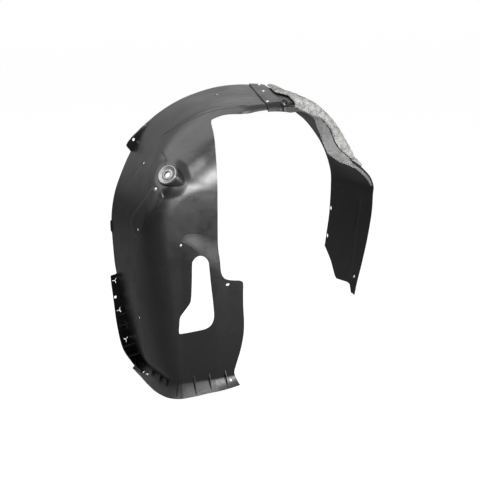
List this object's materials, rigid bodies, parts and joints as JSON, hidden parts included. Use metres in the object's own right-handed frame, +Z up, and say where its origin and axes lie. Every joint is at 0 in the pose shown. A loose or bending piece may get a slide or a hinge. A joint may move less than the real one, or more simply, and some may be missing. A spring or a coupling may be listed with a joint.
{
  "type": "wheel arch liner",
  "caption": "Thin moulded wheel arch liner with a side web, suspension cut-out, lapped and riveted seam, felt pad and fixing holes.",
  "frame": {"origin": "middle of the tab hole in the outboard edge of the rear shell, by which the liner hangs on the fender", "axes": "+Y to the outboard side of the car along the wheel's axle, +Z up, +X towards the small shell"},
  "size_m": [0.7547, 0.284, 0.829],
  "materials": {
    "rear_plastic": "satin black",
    "front_plastic": "satin black",
    "felt": "matted fibre",
    "washer_metal": "satin",
    "rivet_metal": "satin"
  },
  "bodies": {
    "root": {"rear_shell": "rear_plastic", "front_shell": "front_plastic", "felt_pad": "felt", "support_washer": "washer_metal", "seam_rivets": "rivet_metal"}
  },
  "joints": []
}
